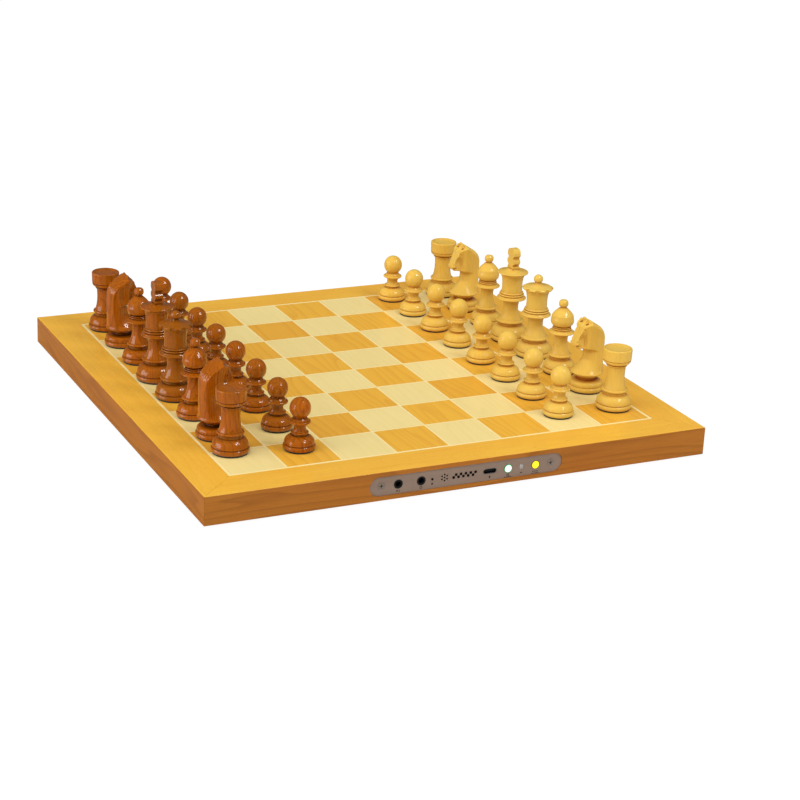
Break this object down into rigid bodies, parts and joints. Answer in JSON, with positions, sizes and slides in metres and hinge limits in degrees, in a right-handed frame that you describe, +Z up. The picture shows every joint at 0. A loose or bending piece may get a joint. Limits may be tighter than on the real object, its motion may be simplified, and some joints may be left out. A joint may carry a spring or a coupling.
{
  "type": "electronic chess computer",
  "caption": "Slim square wooden sensor chessboard with a metal control plate in its front edge, buttons, sockets and a full set of turned wooden chessmen.",
  "frame": {"origin": "centre of the board, on the plane that its rubber feet rest on", "axes": "+Z up; -Y towards the front rail with the control plate; -X towards the dark men, +X towards the light men"},
  "size_m": [0.33, 0.33, 0.0842],
  "materials": {
    "rail_wood": "satin lacquered, grain along each rail",
    "dark_square_wood": "satin lacquered, grain across the board",
    "light_square_wood": "satin lacquered",
    "line_wood": "satin lacquered",
    "panel_wood": "sanded plywood",
    "dark_man_wood": "gloss lacquered red-brown",
    "light_man_wood": "satin boxwood",
    "screw_steel": "bright",
    "foot_rubber": "matt",
    "plate_metal": "brushed along the plate",
    "green_cap": "lit from behind, green",
    "yellow_cap": "lit from behind, yellow",
    "ivory_plastic": "moulded",
    "black_plastic": "moulded",
    "tinned_steel": "bright tin",
    "clear_lens": "clear moulded",
    "circuit_board": "solder resist",
    "led_plastic": "moulded",
    "battery_foil": "foil",
    "cable_plastic": "flexible"
  },
  "bodies": {
    "board": {"front_rail": "rail_wood", "back_rail": "rail_wood", "left_rail": "rail_wood", "right_rail": "rail_wood", "top_panel": "panel_wood", "light_squares": "light_square_wood", "dark_squares": "dark_square_wood", "pale_lines": "line_wood", "base_panel": "panel_wood", "wood_screws": "screw_steel", "rubber_feet": "foot_rubber", "control_plate": "plate_metal", "switch_bodies": "black_plastic", "usb_shell": "tinned_steel", "usb_tongue": "black_plastic", "audio_sockets": "black_plastic", "status_lens": "clear_lens", "control_pcb": "circuit_board", "control_chips": "black_plastic", "speaker": "black_plastic", "sensor_pcb": "circuit_board", "square_sensors": "black_plastic", "square_leds": "led_plastic", "battery": "battery_foil", "cables": "cable_plastic"},
    "power_button": {"power_button": "green_cap"},
    "mode_button": {"mode_button": "yellow_cap"},
    "reset_button": {"reset_button": "ivory_plastic"},
    "dark_rook_a": {"dark_rook_a": "dark_man_wood"},
    "dark_knight_b": {"dark_knight_b": "dark_man_wood"},
    "dark_bishop_c": {"dark_bishop_c": "dark_man_wood"},
    "dark_queen_d": {"dark_queen_d": "dark_man_wood"},
    "dark_king_e": {"dark_king_e": "dark_man_wood"},
    "dark_bishop_f": {"dark_bishop_f": "dark_man_wood"},
    "dark_knight_g": {"dark_knight_g": "dark_man_wood"},
    "dark_rook_h": {"dark_rook_h": "dark_man_wood"},
    "light_rook_a": {"light_rook_a": "light_man_wood"},
    "light_knight_b": {"light_knight_b": "light_man_wood"},
    "light_bishop_c": {"light_bishop_c": "light_man_wood"},
    "light_queen_d": {"light_queen_d": "light_man_wood"},
    "light_king_e": {"light_king_e": "light_man_wood"},
    "light_bishop_f": {"light_bishop_f": "light_man_wood"},
    "light_knight_g": {"light_knight_g": "light_man_wood"},
    "light_rook_h": {"light_rook_h": "light_man_wood"},
    "dark_pawn_a": {"dark_pawn_a": "dark_man_wood"},
    "dark_pawn_b": {"dark_pawn_b": "dark_man_wood"},
    "dark_pawn_c": {"dark_pawn_c": "dark_man_wood"},
    "dark_pawn_d": {"dark_pawn_d": "dark_man_wood"},
    "dark_pawn_e": {"dark_pawn_e": "dark_man_wood"},
    "dark_pawn_f": {"dark_pawn_f": "dark_man_wood"},
    "dark_pawn_g": {"dark_pawn_g": "dark_man_wood"},
    "dark_pawn_h": {"dark_pawn_h": "dark_man_wood"},
    "light_pawn_a": {"light_pawn_a": "light_man_wood"},
    "light_pawn_b": {"light_pawn_b": "light_man_wood"},
    "light_pawn_c": {"light_pawn_c": "light_man_wood"},
    "light_pawn_d": {"light_pawn_d": "light_man_wood"},
    "light_pawn_e": {"light_pawn_e": "light_man_wood"},
    "light_pawn_f": {"light_pawn_f": "light_man_wood"},
    "light_pawn_g": {"light_pawn_g": "light_man_wood"},
    "light_pawn_h": {"light_pawn_h": "light_man_wood"}
  },
  "joints": [
    {"name": "press_power", "type": "slide", "parent": "board", "child": "power_button", "axis": [0, 1, 0], "range_m": [0, 0.0005]},
    {"name": "press_mode", "type": "slide", "parent": "board", "child": "mode_button", "axis": [0, 1, 0], "range_m": [0, 0.0005]},
    {"name": "press_reset", "type": "slide", "parent": "board", "child": "reset_button", "axis": [0, 1, 0], "range_m": [0, 0.0005]},
    {"name": "lift_dark_rook_a", "type": "slide", "parent": "board", "child": "dark_rook_a", "axis": [0, 0, 1], "range_m": [0, 0.08]},
    {"name": "lift_dark_knight_b", "type": "slide", "parent": "board", "child": "dark_knight_b", "axis": [0, 0, 1], "range_m": [0, 0.08]},
    {"name": "lift_dark_bishop_c", "type": "slide", "parent": "board", "child": "dark_bishop_c", "axis": [0, 0, 1], "range_m": [0, 0.08]},
    {"name": "lift_dark_queen_d", "type": "slide", "parent": "board", "child": "dark_queen_d", "axis": [0, 0, 1], "range_m": [0, 0.08]},
    {"name": "lift_dark_king_e", "type": "slide", "parent": "board", "child": "dark_king_e", "axis": [0, 0, 1], "range_m": [0, 0.08]},
    {"name": "lift_dark_bishop_f", "type": "slide", "parent": "board", "child": "dark_bishop_f", "axis": [0, 0, 1], "range_m": [0, 0.08]},
    {"name": "lift_dark_knight_g", "type": "slide", "parent": "board", "child": "dark_knight_g", "axis": [0, 0, 1], "range_m": [0, 0.08]},
    {"name": "lift_dark_rook_h", "type": "slide", "parent": "board", "child": "dark_rook_h", "axis": [0, 0, 1], "range_m": [0, 0.08]},
    {"name": "lift_light_rook_a", "type": "slide", "parent": "board", "child": "light_rook_a", "axis": [0, 0, 1], "range_m": [0, 0.08]},
    {"name": "lift_light_knight_b", "type": "slide", "parent": "board", "child": "light_knight_b", "axis": [0, 0, 1], "range_m": [0, 0.08]},
    {"name": "lift_light_bishop_c", "type": "slide", "parent": "board", "child": "light_bishop_c", "axis": [0, 0, 1], "range_m": [0, 0.08]},
    {"name": "lift_light_queen_d", "type": "slide", "parent": "board", "child": "light_queen_d", "axis": [0, 0, 1], "range_m": [0, 0.08]},
    {"name": "lift_light_king_e", "type": "slide", "parent": "board", "child": "light_king_e", "axis": [0, 0, 1], "range_m": [0, 0.08]},
    {"name": "lift_light_bishop_f", "type": "slide", "parent": "board", "child": "light_bishop_f", "axis": [0, 0, 1], "range_m": [0, 0.08]},
    {"name": "lift_light_knight_g", "type": "slide", "parent": "board", "child": "light_knight_g", "axis": [0, 0, 1], "range_m": [0, 0.08]},
    {"name": "lift_light_rook_h", "type": "slide", "parent": "board", "child": "light_rook_h", "axis": [0, 0, 1], "range_m": [0, 0.08]},
    {"name": "lift_dark_pawn_a", "type": "slide", "parent": "board", "child": "dark_pawn_a", "axis": [0, 0, 1], "range_m": [0, 0.08]},
    {"name": "lift_dark_pawn_b", "type": "slide", "parent": "board", "child": "dark_pawn_b", "axis": [0, 0, 1], "range_m": [0, 0.08]},
    {"name": "lift_dark_pawn_c", "type": "slide", "parent": "board", "child": "dark_pawn_c", "axis": [0, 0, 1], "range_m": [0, 0.08]},
    {"name": "lift_dark_pawn_d", "type": "slide", "parent": "board", "child": "dark_pawn_d", "axis": [0, 0, 1], "range_m": [0, 0.08]},
    {"name": "lift_dark_pawn_e", "type": "slide", "parent": "board", "child": "dark_pawn_e", "axis": [0, 0, 1], "range_m": [0, 0.08]},
    {"name": "lift_dark_pawn_f", "type": "slide", "parent": "board", "child": "dark_pawn_f", "axis": [0, 0, 1], "range_m": [0, 0.08]},
    {"name": "lift_dark_pawn_g", "type": "slide", "parent": "board", "child": "dark_pawn_g", "axis": [0, 0, 1], "range_m": [0, 0.08]},
    {"name": "lift_dark_pawn_h", "type": "slide", "parent": "board", "child": "dark_pawn_h", "axis": [0, 0, 1], "range_m": [0, 0.08]},
    {"name": "lift_light_pawn_a", "type": "slide", "parent": "board", "child": "light_pawn_a", "axis": [0, 0, 1], "range_m": [0, 0.08]},
    {"name": "lift_light_pawn_b", "type": "slide", "parent": "board", "child": "light_pawn_b", "axis": [0, 0, 1], "range_m": [0, 0.08]},
    {"name": "lift_light_pawn_c", "type": "slide", "parent": "board", "child": "light_pawn_c", "axis": [0, 0, 1], "range_m": [0, 0.08]},
    {"name": "lift_light_pawn_d", "type": "slide", "parent": "board", "child": "light_pawn_d", "axis": [0, 0, 1], "range_m": [0, 0.08]},
    {"name": "lift_light_pawn_e", "type": "slide", "parent": "board", "child": "light_pawn_e", "axis": [0, 0, 1], "range_m": [0, 0.08]},
    {"name": "lift_light_pawn_f", "type": "slide", "parent": "board", "child": "light_pawn_f", "axis": [0, 0, 1], "range_m": [0, 0.08]},
    {"name": "lift_light_pawn_g", "type": "slide", "parent": "board", "child": "light_pawn_g", "axis": [0, 0, 1], "range_m": [0, 0.08]},
    {"name": "lift_light_pawn_h", "type": "slide", "parent": "board", "child": "light_pawn_h", "axis": [0, 0, 1], "range_m": [0, 0.08]}
  ]
}
